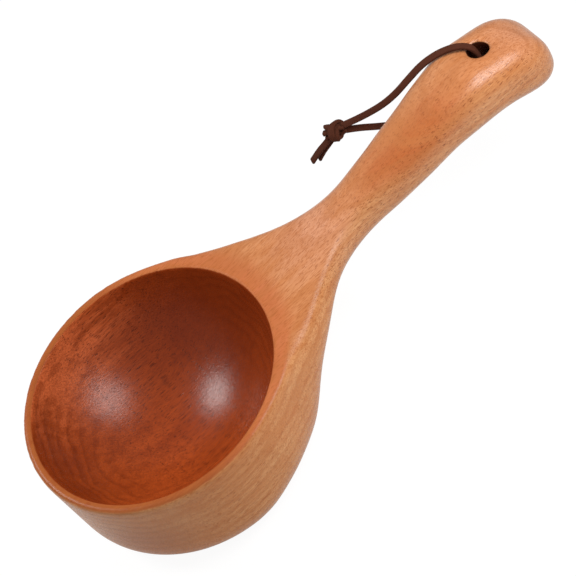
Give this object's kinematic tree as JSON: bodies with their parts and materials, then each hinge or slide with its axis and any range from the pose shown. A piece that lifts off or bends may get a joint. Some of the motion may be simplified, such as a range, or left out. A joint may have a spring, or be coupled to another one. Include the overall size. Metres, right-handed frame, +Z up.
{
  "type": "sauna ladle",
  "caption": "Round wooden ladle carved from one block, with a flat foot, a rising handle and a suede hanging lace.",
  "frame": {"origin": "centre of the bowl's flat foot, on the surface it stands on", "axes": "+Z up out of the bowl's mouth, +X along the handle away from the bowl, +Y to the left of the handle seen from the bowl"},
  "size_m": [0.2724, 0.1188, 0.0826],
  "materials": {
    "beech": "satin",
    "suede": "matte"
  },
  "bodies": {
    "root": {"ladle_body": "beech", "lace_loop": "suede", "lace_knot": "suede", "lace_tail_front": "suede", "lace_tail_back": "suede"}
  },
  "joints": []
}
